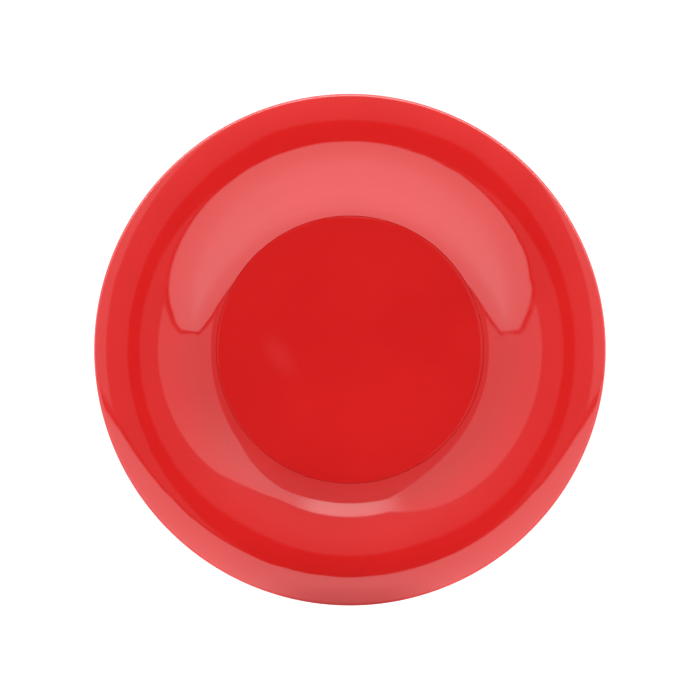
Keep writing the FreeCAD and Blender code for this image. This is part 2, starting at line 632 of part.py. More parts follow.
def rear_plate():
    """The cup-shaped plate that the draw screw pulls forwards, with its captive nut."""
    body = make_body("rear_plate")
    revolve(body, "rear_form", [
        ("rear_bore", "rear_boss_low"),
        ("rear_boss_radius", "rear_boss_low"),
        ("rear_boss_radius", "rear_under"),
        ("rear_inner - rear_fillet", "rear_under", "rear_fillet", -1),
        ("rear_inner", "rear_under - rear_fillet"),
        ("rear_inner - rear_taper", "rear_low"),
        ("rear_radius - rear_taper - rear_chamfer", "rear_low"),
        ("rear_radius - rear_taper", "rear_low + rear_chamfer"),
        ("rear_radius", "rear_under"),
        ("rear_radius", "rear_high - rear_chamfer"),
        ("rear_radius - rear_chamfer", "rear_high"),
        ("rear_bore", "rear_high"),
    ])
    extrude(body, "Pocket", "nut_pocket", hexagon, "0", "nut_corner + nut_gap",
            "rear_boss_low", "nut_height")
    bush_hole = extrude(body, "Pocket", "guide_bush_hole", circle, "guide_circle",
                        "guide_bush_radius", "rear_under", "rear_thick", GUIDE_TURN)
    repeat(body, "guide_bush_holes", [bush_hole], "guide_count")
    screw_hole = extrude(body, "Pocket", "keeper_screw_hole", circle, "keeper_screw_circle",
                         "keeper_screw_radius", "rear_boss_low",
                         "keeper_screw_long - keeper_thick + drill_spare", KEEPER_TURN)
    repeat(body, "keeper_screw_holes", [screw_hole], "keeper_screw_count")
    nut = make_body("draw_nut")
    extrude(nut, "Pad", "nut_form", hexagon, "0", "nut_corner", "rear_boss_low", "nut_height")
    extrude(nut, "Pocket", "nut_bore", circle, "0", "screw_hole", "rear_boss_low",
            "nut_height")
    keeper = make_body("nut_keeper")
    extrude(keeper, "Pad", "keeper_form", circle, "0", "keeper_radius", "keeper_low",
            "keeper_thick")
    extrude(keeper, "Pocket", "keeper_bore", circle, "0", "keeper_bore", "keeper_low",
            "keeper_thick")
    hole = extrude(keeper, "Pocket", "keeper_hole", circle, "keeper_screw_circle",
                   "keeper_screw_radius + shank_gap", "keeper_low", "keeper_thick",
                   KEEPER_TURN)
    repeat(keeper, "keeper_holes", [hole], "keeper_screw_count")


def guides():
    """The pins that keep the rear plate from turning, each with its own bush."""
    for index in range(round(value("guide_count"))):
        turn = GUIDE_TURN + index * 360 / value("guide_count")
        pin = make_body("guide_pin_%d" % (index + 1))
        form = extrude(pin, "Pad", "pin_form", circle, "guide_circle", "pin_radius",
                       "pin_low", "plate_high - pin_low", turn)
        bush = make_body("guide_bush_%d" % (index + 1))
        extrude(bush, "Pad", "bush_form", circle, "guide_circle", "guide_bush_radius",
                "rear_high - guide_bush_long", "guide_bush_long", turn)
        extrude(bush, "Pocket", "bush_bore", circle, "guide_circle", "guide_hole",
                "rear_high - guide_bush_long", "guide_bush_long", turn)
        doc.recompute()
        tip = pin.newObject("PartDesign::Chamfer", "pin_tip")
        tip.Base = (form, [lowest_edge(form.Shape)])
        tip.setExpression("Size", expand("pin_chamfer"))
        pin.Tip = tip


def lowest_edge(shape):
    """Name the edge whose middle lies lowest."""
    heights = [edge.CenterOfMass.z for edge in shape.Edges]
    return "Edge%d" % (heights.index(min(heights)) + 1)


def fasteners():
    """The four rings of socket-head screws."""
    screws("shell_screws", "boss_count", "crest_circle", "small_radius - thread_fit",
           "small_head_radius", "small_head_high", "small_socket", "shell_screw_long",
           "plate_low + small_head_high + head_recess", True, 0)
    screws("hub_screws", "hub_screw_count", "hub_screw_circle", "small_radius - thread_fit",
           "small_head_radius", "small_head_high", "small_socket", "hub_screw_long",
           "hub_high - small_head_high - head_recess", False, HUB_SCREW_TURN)
    screws("spigot_screws", "spigot_screw_count", "spigot_screw_circle",
           "spigot_screw_radius - thread_fit", "spigot_head_radius", "spigot_head_high",
           "spigot_socket", "spigot_screw_long",
           "spigot_low + spigot_head_high + head_recess", True, SPIGOT_SCREW_TURN)
    screws("keeper_screws", "keeper_screw_count", "keeper_screw_circle",
           "keeper_screw_radius - thread_fit", "keeper_head_radius", "keeper_head_high",
           "keeper_socket", "keeper_screw_long", "keeper_low", True, KEEPER_TURN)


def check_and_write():
    """Stop on any failed object, then write each sub-part to its own file."""
    for item in doc.Objects:
        if "Invalid" in item.State or "Error" in item.State:
            raise RuntimeError("failed: " + item.Label)
    for subpart in subparts:
        if subpart.Shape.isNull() or not subpart.Shape.isValid():
            raise RuntimeError("bad shape: " + subpart.Label)
    os.makedirs("parts", exist_ok=True)
    for subpart in subparts:
        subpart.Shape.exportStep("parts/" + subpart.Label + ".step")
        solids = len(subpart.Shape.Solids)
        print(subpart.Label, solids, "solids", round(subpart.Shape.Volume), "mm3")


# Angles in degrees at which the rings of screws and pins start, so that they miss each other.
HUB_SCREW_TURN = 45
SPIGOT_SCREW_TURN = 30
KEEPER_TURN = 30
GUIDE_TURN = 90
# How far a shell screw reaches into its boss.
SHELL_SCREW_BITE = "shell_screw_long + small_head_high + head_recess - plate_thick"

ALIASES = [alias for alias, number, meaning in SIZES]
subparts = []
doc = FreeCAD.newDocument("blind_flange")
sheet = doc.addObject("Spreadsheet::Sheet", "Sizes")
for row, (alias, number, meaning) in enumerate(SIZES, start=1):
    sheet.set("A%d" % row, meaning)
    sheet.set("B%d" % row, str(number))
    sheet.setAlias("B%d" % row, alias)
doc.recompute()

face_shell()
centre_cap()
backing_plate()
hub()
draw_screw()
spigot_and_sleeve()
rear_plate()
guides()
fasteners()
doc.recompute()
check_and_write()
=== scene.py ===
"""An expanding blind flange, face up on a plain floor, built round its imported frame.

Everything is in metres, in the frame's own axes: +Z points out of the red face and Z = 0 is the
plane where the gasket meets the pipe's flange.
"""
import logging
import math
from dataclasses import dataclass
from enum import Enum

import bmesh
import bpy
import numpy as np
from numpy.typing import NDArray
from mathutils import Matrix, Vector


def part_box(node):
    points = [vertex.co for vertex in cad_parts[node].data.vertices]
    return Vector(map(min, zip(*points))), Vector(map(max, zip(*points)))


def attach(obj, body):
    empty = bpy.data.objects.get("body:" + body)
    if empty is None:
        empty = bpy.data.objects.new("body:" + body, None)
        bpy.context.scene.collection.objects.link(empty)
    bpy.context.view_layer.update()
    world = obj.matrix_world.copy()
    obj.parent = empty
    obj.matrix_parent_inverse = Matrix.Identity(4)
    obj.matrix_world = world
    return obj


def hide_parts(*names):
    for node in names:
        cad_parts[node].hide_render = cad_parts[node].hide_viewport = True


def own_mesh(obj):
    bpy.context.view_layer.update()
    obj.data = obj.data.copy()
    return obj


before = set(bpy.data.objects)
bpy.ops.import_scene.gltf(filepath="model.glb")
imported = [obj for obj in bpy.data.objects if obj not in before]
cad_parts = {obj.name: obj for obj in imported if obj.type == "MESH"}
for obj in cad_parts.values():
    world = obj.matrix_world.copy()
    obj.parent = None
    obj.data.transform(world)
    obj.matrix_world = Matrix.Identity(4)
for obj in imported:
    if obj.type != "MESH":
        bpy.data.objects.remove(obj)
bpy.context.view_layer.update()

LOG = logging.getLogger("blind_flange")
MM = 0.001
Array = NDArray[np.float64]
Colour = tuple[float, float, float]


# --- surfaces ------------------------------------------------------------------------------


def arc(centre: tuple[float, float], radius: float, start: float, stop: float,
        count: int) -> Array:
    """Sample an arc: centre + radius * (sin a, cos a), with a measured from the up direction.

    Args:
        centre: Radius and height of the arc's centre.
        radius: Radius of the arc.
        start: First angle in radians, from straight up, positive outwards.
        stop: Last angle.
        count: Number of points.

    Returns:
        An array of (radius, height) rows.
    """
    angle = np.linspace(start, stop, count)
    return np.column_stack([centre[0] + radius * np.sin(angle),
                            centre[1] + radius * np.cos(angle)])


def rounded(points: list[tuple[float, float]], rounding: float, count: int = 4) -> Array:
    """Round every corner of a closed outline with a quadratic curve.

    Each corner P between A and B becomes (1-t)^2 P1 + 2t(1-t) P + t^2 P2, where P1 and P2 lie
    on the two sides at the rounding's distance, or at a third of a shorter side.

    Args:
        points: The outline's corners as (radius, height).
        rounding: How far from a corner its curve starts.
        count: Points on each curve.

    Returns:
        An array of (radius, height) rows.
    """
    corner = np.array(points)
    before = np.roll(corner, 1, axis=0) - corner
    after = np.roll(corner, -1, axis=0) - corner
    reach_before = np.minimum(rounding, np.linalg.norm(before, axis=1) / 3)[:, None]
    reach_after = np.minimum(rounding, np.linalg.norm(after, axis=1) / 3)[:, None]
    first = corner + before / np.linalg.norm(before, axis=1)[:, None] * reach_before
    last = corner + after / np.linalg.norm(after, axis=1)[:, None] * reach_after
    t = np.linspace(0, 1, count)[None, :, None]
    curve = ((1 - t) ** 2 * first[:, None] + 2 * t * (1 - t) * corner[:, None]
             + t ** 2 * last[:, None])
    return curve.reshape(-1, 2)


def lathe(profile: Array, segments: int) -> Array:
    """Turn a profile about Z: point (i, j) = (r_i cos a_j, r_i sin a_j, z_i).

    Args:
        profile: (radius, height) rows, counter-clockwise with the material inside.
        segments: Steps round the circle.

    Returns:
        A grid of points, profile by circle by 3.
    """
    angle = np.linspace(0, 2 * math.pi, segments, endpoint=False)
    radius = profile[:, 0:1]
    height = np.broadcast_to(profile[:, 1:2], (len(profile), segments))
    return np.stack([radius * np.cos(angle), radius * np.sin(angle), height], axis=-1)


def turned_rows(rows: list[tuple[Array | float, Array | float]], segments: int) -> Array:
    """Stack rows whose radius and height may each change round the circle.

    Args:
        rows: Radius and height of each row, as numbers or as arrays over the circle.
        segments: Steps round the circle.

    Returns:
        A grid of points, rows by circle by 3.
    """
    angle = np.linspace(0, 2 * math.pi, segments, endpoint=False)
    radius = np.stack([np.broadcast_to(row[0], segments) for row in rows])
    height = np.stack([np.broadcast_to(row[1], segments) for row in rows])
    return np.stack([radius * np.cos(angle), radius * np.sin(angle), height], axis=-1)


def hexagon_radius(corner: float, segments: int) -> Array:
    """Distance from a hexagon's centre to its side: corner cos 30 / cos(a mod 60 - 30)."""
    angle = np.linspace(0, 360, segments, endpoint=False)
    return corner * math.cos(math.radians(30)) / np.cos(np.radians(angle % 60 - 30))


def smooth(low: float, high: float, amount: Array) -> Array:
    """Rise from 0 to 1 between low and high as 3t^2 - 2t^3."""
    t = np.clip((amount - low) / (high - low), 0, 1)
    return t * t * (3 - 2 * t)


def quads(shape: tuple[int, int], close_rows: bool) -> NDArray[np.int64]:
    """Index the faces of a grid that closes round the circle.

    Args:
        shape: Rows and columns of the grid.
        close_rows: Whether the last row joins the first.

    Returns:
        Four vertex numbers for each face.
    """
    index = np.arange(shape[0] * shape[1]).reshape(shape)
    if close_rows:
        index = np.vstack([index, index[:1]])
    index = np.hstack([index, index[:, :1]])
    corners = [index[:-1, :-1], index[:-1, 1:], index[1:, 1:], index[1:, :-1]]
    return np.stack(corners, axis=-1).reshape(-1, 4)


def make_piece(name: str, grids: list[Array], close_rows: bool,
               sharp_degrees: float = 32) -> bpy.types.Object:
    """Make one object from grids of points, with its poles merged and its faces smooth.

    Args:
        name: Name of the piece.
        grids: Grids of points, each rows by circle by 3.
        close_rows: Whether each grid's last row joins its first.
        sharp_degrees: Angle above which an edge stays sharp.

    Returns:
        The linked object, at the origin.
    """
    points, faces, start = [], [], 0
    for grid in grids:
        points.append(grid.reshape(-1, 3))
        faces.append(quads(grid.shape[:2], close_rows) + start)
        start += len(points[-1])
    mesh = bpy.data.meshes.new(name)
    mesh.from_pydata(np.vstack(points).tolist(), [], np.vstack(faces).tolist())
    shape = bmesh.new()
    shape.from_mesh(mesh)
    bmesh.ops.remove_doubles(shape, verts=shape.verts, dist=1e-7)
    bmesh.ops.dissolve_degenerate(shape, edges=shape.edges, dist=1e-8)
    shape.to_mesh(mesh)
    shape.free()
    mesh.shade_smooth()
    mesh.set_sharp_from_angle(angle=math.radians(sharp_degrees))
    piece = bpy.data.objects.new(name, mesh)
    bpy.context.scene.collection.objects.link(piece)
    return piece


def slow_waves(points: Array, length: float, height: float, seed: int) -> Array:
    """Lift points by a sum of plane waves, height * mean of sin(k . p + phase).

    Args:
        points: Grid of points.
        length: Wavelength of the longest wave.
        height: Height of the waves.
        seed: Seed of their directions and phases.

    Returns:
        The height to add at each point.
    """
    source = np.random.default_rng(seed)
    lift = np.zeros(points.shape[:-1])
    waves = 7
    for wave in range(waves):
        heading, phase = source.uniform(0, 2 * math.pi, 2)
        turns = 2 * math.pi / (length * source.uniform(0.5, 1.0))
        along = points[..., 0] * math.cos(heading) + points[..., 1] * math.sin(heading)
        lift += np.sin(turns * along + phase)
    return height * lift / waves


# --- finishes ------------------------------------------------------------------------------


class Surface(Enum):
    """How a surface was made, which decides its relief."""

    MOULDED = "moulded"
    TURNED = "turned"
    CAST = "cast"
    RUBBER = "rubber"


@dataclass(frozen=True)
class Finish:
    """One finish: its colours, its gloss and the relief left by how it was made."""

    name: str
    slot: str
    surface: Surface
    deep: Colour
    pale: Colour
    roughness: tuple[float, float]
    metallic: float
    relief: float
    grain: float
    clouds: float
    ior: float = 1.5

    def material(self) -> bpy.types.Material:
        """Build the material, once."""
        made = bpy.data.materials.get(self.name)
        return made if made else build_material(self)


RED_FACE = Finish("red_moulding", "red_face", Surface.MOULDED, (0.556, 0.0113, 0.0107),
                  (0.584, 0.0130, 0.0123), (0.035, 0.070), 0.0, 0.002 * MM, 90, 14, ior=1.6)
PLATED = Finish("zinc_plate", "plate_steel", Surface.TURNED, (0.42, 0.43, 0.45),
                (0.60, 0.60, 0.58), (0.26, 0.42), 1.0, 0.02 * MM, 900, 30)
MACHINED = Finish("machined_steel", "machined_steel", Surface.TURNED, (0.50, 0.50, 0.50),
                  (0.62, 0.61, 0.60), (0.18, 0.32), 1.0, 0.012 * MM, 1400, 40)
ALLOY = Finish("turned_alloy", "spigot_alloy", Surface.TURNED, (0.70, 0.71, 0.73),
               (0.80, 0.81, 0.82), (0.24, 0.36), 1.0, 0.015 * MM, 1100, 30)
CASTING = Finish("grey_casting", "rear_casting", Surface.CAST, (0.075, 0.082, 0.090),
                 (0.115, 0.122, 0.130), (0.42, 0.62), 0.0, 0.12 * MM, 420, 18)
RUBBER = Finish("black_rubber", "black_rubber", Surface.RUBBER, (0.016, 0.016, 0.017),
                (0.034, 0.033, 0.032), (0.48, 0.66), 0.0, 0.03 * MM, 1500, 26)
NYLON = Finish("natural_nylon", "backing_nylon", Surface.MOULDED, (0.66, 0.62, 0.52),
               (0.74, 0.71, 0.62), (0.34, 0.46), 0.0, 0.01 * MM, 300, 22)
BRONZE = Finish("bush_bronze", "bush_bronze", Surface.TURNED, (0.48, 0.29, 0.13),
                (0.62, 0.41, 0.20), (0.26, 0.40), 1.0, 0.012 * MM, 1400, 40)
DARK_SCREW = Finish("blackened_steel", "dark_screws", Surface.TURNED, (0.035, 0.035, 0.038),
                    (0.075, 0.072, 0.070), (0.32, 0.46), 0.85, 0.01 * MM, 1600, 120)
SPRING = Finish("phosphated_steel", "spring_steel", Surface.CAST, (0.10, 0.10, 0.11),
                (0.19, 0.18, 0.18), (0.40, 0.55), 0.9, 0.01 * MM, 2200, 90)

CARRIED_OVER: dict[str, Finish] = {
    "cap_seal": RUBBER,
    "backing_plate": PLATED,
    "hub": MACHINED,
    "hub_seal": RUBBER,
    "hub_bush": BRONZE,
    "shaft_seal": RUBBER,
    "thrust_washer": BRONZE,
    "back_washer": MACHINED,
    "hub_clip": SPRING,
    "end_clip": SPRING,
    "spigot_ring": ALLOY,
    "front_backing_ring": NYLON,
    "rear_backing_ring": NYLON,
    "rear_plate": CASTING,
    "draw_nut": PLATED,
    "nut_keeper": PLATED,
    "guide_pin_1": MACHINED,
    "guide_pin_2": MACHINED,
    "guide_pin_3": MACHINED,
    "guide_bush_1": BRONZE,
    "guide_bush_2": BRONZE,
    "guide_bush_3": BRONZE,
}


def add_node(tree: bpy.types.NodeTree, kind: str, settings: dict[str, object] | None = None,
             inputs: dict[str | int, object] | None = None) -> bpy.types.Node:
    """Add a node, set its properties and fill or link its inputs.

    Args:
        tree: Tree that takes the node.
        kind: The node's type.
        settings: Properties by name.
        inputs: Values or output sockets by input name or number.

    Returns:
        The node.
    """
    node = tree.nodes.new(kind)
    for name, setting in (settings or {}).items():
        setattr(node, name, setting)
    for name, given in (inputs or {}).items():
        if isinstance(given, bpy.types.NodeSocket):
            tree.links.new(given, node.inputs[name])
        else:
            node.inputs[name].default_value = given
    return node


def start_group(name: str, inputs: dict[str, float],
                outputs: list[str]) -> tuple[bpy.types.NodeTree, bpy.types.Node, bpy.types.Node]:
    """Start a shader group with float inputs and float outputs.

    Args:
        name: Name of the group.
        inputs: Input names and their values at first.
        outputs: Output names.

    Returns:
        The tree, its input node and its output node.
    """
    tree = bpy.data.node_groups.new(name, "ShaderNodeTree")
    for label, number in inputs.items():
        socket = tree.interface.new_socket(label, in_out="INPUT", socket_type="NodeSocketFloat")
        socket.default_value = number
    for label in outputs:
        tree.interface.new_socket(label, in_out="OUTPUT", socket_type="NodeSocketFloat")
    return tree, tree.nodes.new("NodeGroupInput"), tree.nodes.new("NodeGroupOutput")


def clouds_group() -> bpy.types.NodeTree:
    """Slow uneven patches: two octaves of noise over object space, stretched to 0 to 1."""
    made = bpy.data.node_groups.get("slow_clouds")
    if made:
        return made
    tree, given, out = start_group("slow_clouds", {"Scale": 20.0}, ["Mask"])
    place = add_node(tree, "ShaderNodeTexCoord")
    noise = add_node(tree, "ShaderNodeTexNoise", None,
                     {"Vector": place.outputs["Object"], "Scale": given.outputs["Scale"],
                      "Detail": 2.0, "Roughness": 0.55})
    spread = add_node(tree, "ShaderNodeMapRange", {"interpolation_type": "SMOOTHSTEP"},
                      {"Value": noise.outputs["Fac"], "From Min": 0.34, "From Max": 0.68})
    tree.links.new(spread.outputs["Result"], out.inputs["Mask"])
    return tree


def turning_group() -> bpy.types.NodeTree:
    """Tool marks round the Z axis: one-dimensional noise of radius plus height."""
    made = bpy.data.node_groups.get("turning_marks")
    if made:
        return made
    tree, given, out = start_group("turning_marks", {"Scale": 1000.0}, ["Height"])
    place = add_node(tree, "ShaderNodeTexCoord")
    flat = add_node(tree, "ShaderNodeVectorMath", {"operation": "MULTIPLY"},
                    {0: place.outputs["Object"], 1: (1.0, 1.0, 0.0)})
    radius = add_node(tree, "ShaderNodeVectorMath", {"operation": "LENGTH"},
                      {0: flat.outputs["Vector"]})
    parts = add_node(tree, "ShaderNodeSeparateXYZ", None, {0: place.outputs["Object"]})
    along = add_node(tree, "ShaderNodeMath", {"operation": "ADD"},
                     {0: radius.outputs["Value"], 1: parts.outputs["Z"]})
    noise = add_node(tree, "ShaderNodeTexNoise", {"noise_dimensions": "1D"},
                     {"W": along.outputs[0], "Scale": given.outputs["Scale"], "Detail": 3.0})
    tree.links.new(noise.outputs["Fac"], out.inputs["Height"])
    return tree


def grain_group() -> bpy.types.NodeTree:
    """Fine even grain: one octave of noise mixed with rounded cells."""
    made = bpy.data.node_groups.get("fine_grain")
    if made:
        return made
    tree, given, out = start_group("fine_grain", {"Scale": 400.0}, ["Height"])
    place = add_node(tree, "ShaderNodeTexCoord")
    noise = add_node(tree, "ShaderNodeTexNoise", None,
                     {"Vector": place.outputs["Object"], "Scale": given.outputs["Scale"],
                      "Detail": 4.0, "Roughness": 0.6})
    cells = add_node(tree, "ShaderNodeTexVoronoi", {"feature": "SMOOTH_F1"},
                     {"Vector": place.outputs["Object"], "Scale": given.outputs["Scale"]})
    both = add_node(tree, "ShaderNodeMath", {"operation": "MULTIPLY_ADD"},
                    {0: cells.outputs["Distance"], 1: 0.5, 2: noise.outputs["Fac"]})
    tree.links.new(both.outputs[0], out.inputs["Height"])
    return tree


def scuffs_group() -> bpy.types.NodeTree:
    """Thin crossing hairlines: a narrow band about the middle of two stretched noises."""
    made = bpy.data.node_groups.get("hairline_scuffs")
    if made:
        return made
    tree, given, out = start_group("hairline_scuffs", {"Scale": 20.0}, ["Mask"])
    place = add_node(tree, "ShaderNodeTexCoord")
    masks = []
    for turn in (0.6, 2.1):
        spun = add_node(tree, "ShaderNodeMapping", None,
                        {"Vector": place.outputs["Object"], "Rotation": (0.0, 0.0, turn),
                         "Scale": (1.0, 14.0, 1.0)})
        noise = add_node(tree, "ShaderNodeTexNoise", None,
                         {"Vector": spun.outputs["Vector"], "Scale": given.outputs["Scale"],
                          "Detail": 5.0})
        line = add_node(tree, "ShaderNodeMath", {"operation": "COMPARE"},
                        {0: noise.outputs["Fac"], 1: 0.5, 2: 0.004})
        masks.append(line.outputs[0])
    joined = add_node(tree, "ShaderNodeMath", {"operation": "MAXIMUM"},
                      {0: masks[0], 1: masks[1]})
    tree.links.new(joined.outputs[0], out.inputs["Mask"])
    return tree


def use_group(tree: bpy.types.NodeTree, group: bpy.types.NodeTree,
              scale: float) -> bpy.types.NodeSocket:
    """Place a group in a material at a scale and hand back its one output."""
    node = add_node(tree, "ShaderNodeGroup", {"node_tree": group}, {"Scale": scale})
    return node.outputs[0]


def build_material(finish: Finish) -> bpy.types.Material:
    """Build a finish: patchy colour, uneven gloss, hairline scuffs and its own relief.

    Args:
        finish: The finish to build.

    Returns:
        The material.
    """
    material = bpy.data.materials.new(finish.name)
    material.use_nodes = True
    tree = material.node_tree
    shader = tree.nodes["Principled BSDF"]
    clouds = use_group(tree, clouds_group(), finish.clouds)
    scuffs = use_group(tree, scuffs_group(), finish.clouds * 1.5)
    colour = add_node(tree, "ShaderNodeMix", {"data_type": "RGBA"},
                      {"Factor": clouds, 6: (*finish.deep, 1.0), 7: (*finish.pale, 1.0)})
    tree.links.new(colour.outputs[2], shader.inputs["Base Color"])
    gloss = add_node(tree, "ShaderNodeMapRange", None,
                     {"Value": clouds, "To Min": finish.roughness[0],
                      "To Max": finish.roughness[1]})
    worn = add_node(tree, "ShaderNodeMath", {"operation": "MULTIPLY_ADD", "use_clamp": True},
                    {0: scuffs, 1: finish.roughness[1], 2: gloss.outputs["Result"]})
    tree.links.new(worn.outputs[0], shader.inputs["Roughness"])
    group = turning_group() if finish.surface is Surface.TURNED else grain_group()
    height = use_group(tree, group, finish.grain)
    bump = add_node(tree, "ShaderNodeBump", None,
                    {"Height": height, "Distance": finish.relief, "Strength": 1.0})
    tree.links.new(bump.outputs["Normal"], shader.inputs["Normal"])
    shader.inputs["Metallic"].default_value = finish.metallic
    shader.inputs["IOR"].default_value = finish.ior
    return material


def dress(piece: bpy.types.Object, finish: Finish) -> None:
    """Give a piece its one finish."""
    piece.data.materials.clear()
    piece.data.materials.append(finish.material())


# --- the red face --------------------------------------------------------------------------


@dataclass
class RedFace:
    """The dished red moulding and the centre cap that plugs into it."""

    crest_circle: float = 121.7 * MM
    wall_circle: float = 88.4 * MM
    wall_slope: float = math.radians(38)
    lip_slope: float = math.radians(12)
    wall: float = 5 * MM
    edge_round: float = 3 * MM
    lip_wide: float = 0.6 * MM
    cap_gap: float = 0.3 * MM
    seam: float = 0.07 * MM
    seam_round: float = 0.1 * MM
    cap_thick: float = 3.5 * MM
    cap_crown: float = 0.8 * MM
    rim_sweep: float = 20 * MM
    rim_wide: float = 2.6 * MM
    skirt_inset: float = 2 * MM
    skirt_wall: float = 4 * MM
    neck_wall: float = 4 * MM
    neck_radius: float = 63.5 * MM
    ring_wall: float = 4 * MM
    ledge_lap: float = 3.1 * MM
    shell_waves: float = 0.05 * MM
    cap_waves: float = 0.35 * MM
    segments: int = 384

    def shell_profile(self) -> Array:
        """Work out the moulding's section: lip, S-shaped wall, crest, edge, skirt, underside.

        Returns:
            (radius, height) rows, counter-clockwise.
        """
        low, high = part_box("face_shell")
        plate_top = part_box("backing_plate")[1].z
        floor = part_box("centre_cap")[1].z
        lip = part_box("centre_cap")[1].x + self.cap_gap
        floor_edge = lip + self.lip_wide
        sines = math.sin(self.wall_slope) - math.sin(self.lip_slope)
        hollow = (self.wall_circle - floor_edge) / sines
        crown = (self.crest_circle - self.wall_circle) / math.sin(self.wall_slope)
        hollow_centre = (floor_edge - hollow * math.sin(self.lip_slope),
                         floor + hollow * math.cos(self.lip_slope))
        crown_centre = (self.crest_circle, high.z - crown)
        edge_sine = (high.x - self.edge_round - self.crest_circle) / (crown - self.edge_round)
        edge_angle = math.asin(edge_sine)
        edge_centre = (high.x - self.edge_round,
                       crown_centre[1] + (crown - self.edge_round) * math.cos(edge_angle))
        skirt_inner = high.x - self.skirt_inset - self.skirt_wall
        under_angle = math.asin((skirt_inner - self.crest_circle) / (crown - self.wall))
        shelf = floor - self.cap_thick
        ledge_under = shelf - self.neck_wall
        ledge_outer = floor_edge + self.ledge_lap
        under = hollow + self.wall
        ledge_angle = math.asin((ledge_outer - hollow_centre[0]) / under)
        half_turn = math.pi
        outline = np.vstack([
            [(self.neck_radius, plate_top), (self.neck_radius, shelf), (lip, shelf)],
            arc((lip + self.seam_round, self.seam_height(floor) - self.seam_round),
                self.seam_round, -half_turn / 2, 0, 5),
            arc(hollow_centre, hollow, half_turn - self.lip_slope,
                half_turn - self.wall_slope, 28),
            arc(crown_centre, crown, -self.wall_slope, edge_angle, 90)[1:],
            arc(edge_centre, self.edge_round, edge_angle, half_turn / 2, 16)[1:],
            rounded_foot(high.x - self.skirt_inset, skirt_inner, low.z),
            arc(crown_centre, crown - self.wall, under_angle, -self.wall_slope, 30),
            arc(hollow_centre, under, half_turn - self.wall_slope,
                half_turn - ledge_angle, 14)[1:],
            [(ledge_outer, ledge_under), (self.neck_radius + self.neck_wall, ledge_under),
             (self.neck_radius + self.neck_wall, plate_top)],
        ])
        return outline[::-1]

    def seam_height(self, floor: float) -> float:
        """Height of the seam: the lip falls from the floor's edge at its own slope."""
        return floor - self.lip_wide * math.tan(0.8 * self.lip_slope)

    def cap_profile(self) -> Array:
        """Work out the cap's section: ring, disc and a slightly crowned top.

        The top sweeps up to its rim as x^2 / 2R and rises towards the middle by a smooth step.

        Returns:
            (radius, height) rows from the axis below to the axis above.
        """
        low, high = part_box("centre_cap")
        seal_low, seal_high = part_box("cap_seal")
        shelf = high.z - self.cap_thick
        ring_outer = self.neck_radius - self.cap_gap
        ring_inner = ring_outer - self.ring_wall
        seal_inner = seal_high.x - (seal_high.z - seal_low.z)
        edge = high.x + self.cap_gap - self.seam
        top_radius = edge - self.seam_round
        seam_height = self.seam_height(high.z) - 0.02 * MM
        rim = arc((top_radius, seam_height - self.seam_round), self.seam_round,
                  math.pi / 2, 0, 5)
        across = np.linspace(top_radius, 0, 140)[1:]
        sweep = (np.clip(across - top_radius + self.rim_wide, 0, None) ** 2
                 - self.rim_wide ** 2) / (2 * self.rim_sweep)
        crown = self.cap_crown * (1 - smooth(0.3 * top_radius, 0.88 * top_radius, across))
        top = np.column_stack([across, seam_height + sweep + crown])
        return np.vstack([
            [(0, shelf), (ring_inner, shelf), (ring_inner, low.z), (ring_outer, low.z),
             (ring_outer, seal_low.z), (seal_inner, seal_low.z), (seal_inner, seal_high.z),
             (ring_outer, seal_high.z), (ring_outer, shelf), (edge, shelf)],
            rim, top,
        ])

    def build(self) -> list[bpy.types.Object]:
        """Build the moulding and its cap, with the slow waves that a moulding cools into.

        Returns:
            The two pieces.
        """
        shell_points = lathe(self.shell_profile(), self.segments)
        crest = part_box("face_shell")[1].z
        visible = smooth(crest - 20 * MM, crest - 16 * MM, shell_points[..., 2])
        waves = np.abs(slow_waves(shell_points, 50 * MM, self.shell_waves, 5))
        shell_points[..., 2] -= visible * waves
        shell = make_piece("face_moulding", [shell_points], True)
        cap_points = lathe(self.cap_profile(), self.segments)
        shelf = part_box("centre_cap")[1].z - self.cap_thick
        on_top = smooth(shelf, shelf + 1 * MM, cap_points[..., 2])
        waves = self.cap_waves + slow_waves(cap_points, 55 * MM, self.cap_waves, 11)
        cap_points[..., 2] -= on_top * waves
        cap = make_piece("cap_moulding", [cap_points], False)
        for piece, node, body in ((shell, "face_shell", "flange_body"),
                                  (cap, "centre_cap", "cap")):
            dress(piece, RED_FACE)
            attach(piece, body)
            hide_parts(node)
        return [shell, cap]


def rounded_foot(outer: float, inner: float, low: float) -> Array:
    """Round the two corners of a skirt's foot.

    Args:
        outer: Outer radius of the foot.
        inner: Inner radius of the foot.
        low: Height of the foot.

    Returns:
        (radius, height) rows from the outer corner to the inner one.
    """
    rounding = 0.8 * MM
    quarter = math.pi / 2
    return np.vstack([
        arc((outer - rounding, low + rounding), rounding, quarter, 2 * quarter, 6),
        arc((inner + rounding, low + rounding), rounding, 2 * quarter, 3 * quarter, 6),
    ])


# --- the rubber ----------------------------------------------------------------------------


